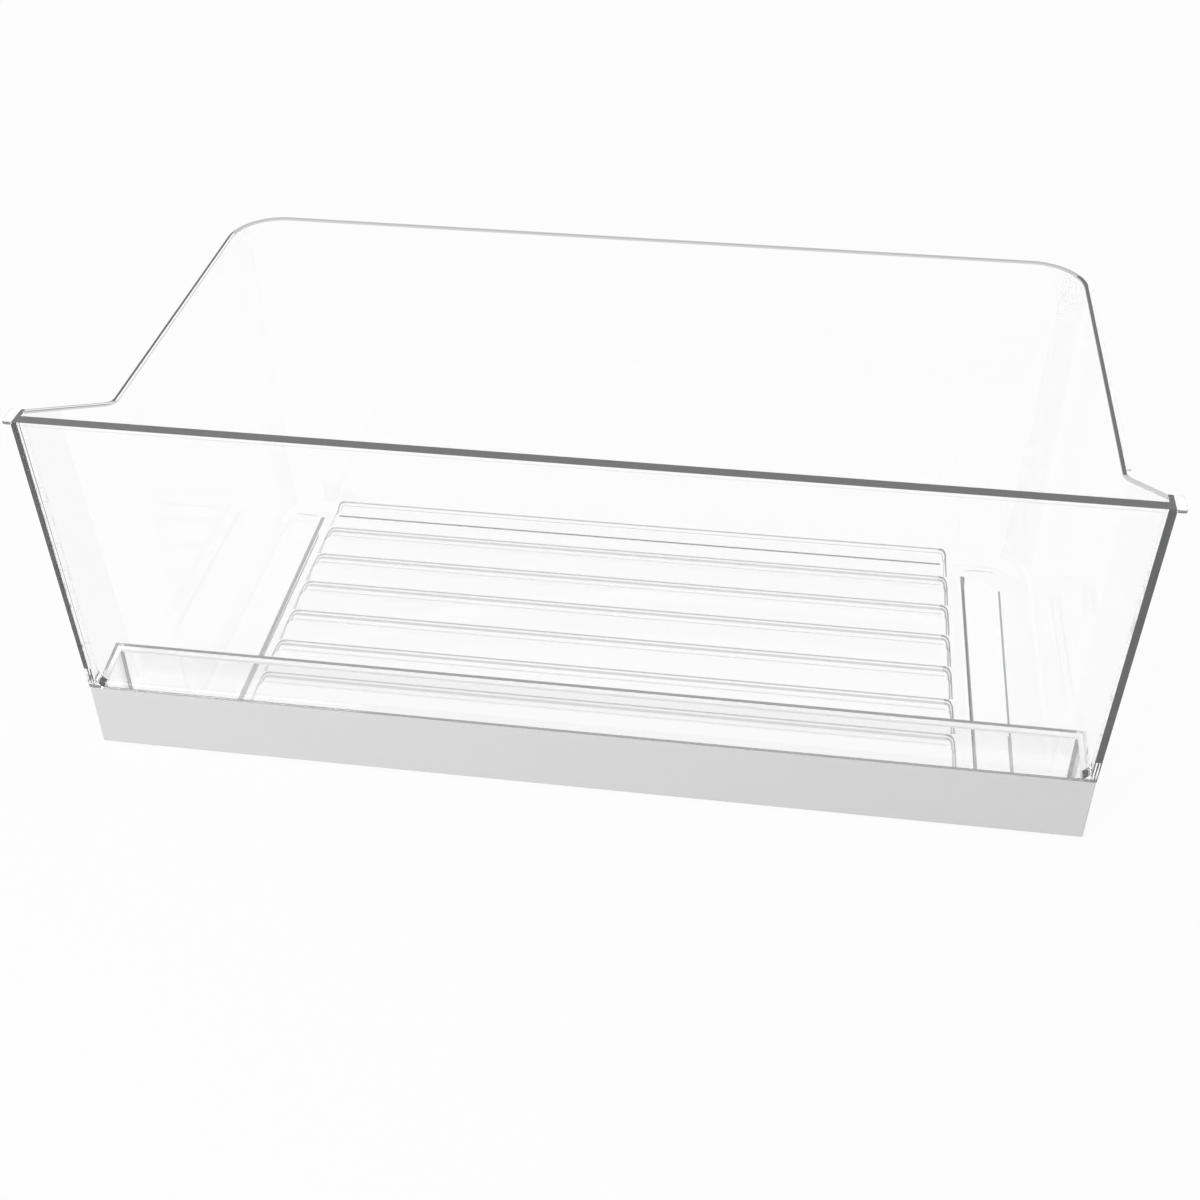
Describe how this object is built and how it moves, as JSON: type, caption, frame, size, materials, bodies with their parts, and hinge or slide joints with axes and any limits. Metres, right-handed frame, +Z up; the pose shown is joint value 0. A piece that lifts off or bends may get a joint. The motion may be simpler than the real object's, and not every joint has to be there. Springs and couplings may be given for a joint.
{
  "type": "crisper drawer",
  "caption": "Clear plastic fridge crisper drawer with a flared open bin, a wide front, a finger pocket and a light grey grip strip",
  "frame": {"origin": "on the rest plane, under the middle of the bounding box", "axes": "+X to the right seen from the front, +Y from the front to the rear wall, +Z up"},
  "size_m": [0.468, 0.1944, 0.1805],
  "materials": {
    "clear_plastic": "clear moulded polystyrene, polished",
    "grip_grey": "light grey moulded plastic, smooth",
    "foot_grey": "soft grey glide feet"
  },
  "bodies": {
    "root": {"basket": "clear_plastic", "front_panel": "clear_plastic", "grip_strip": "grip_grey", "foot_left": "foot_grey", "foot_right": "foot_grey"}
  },
  "joints": []
}
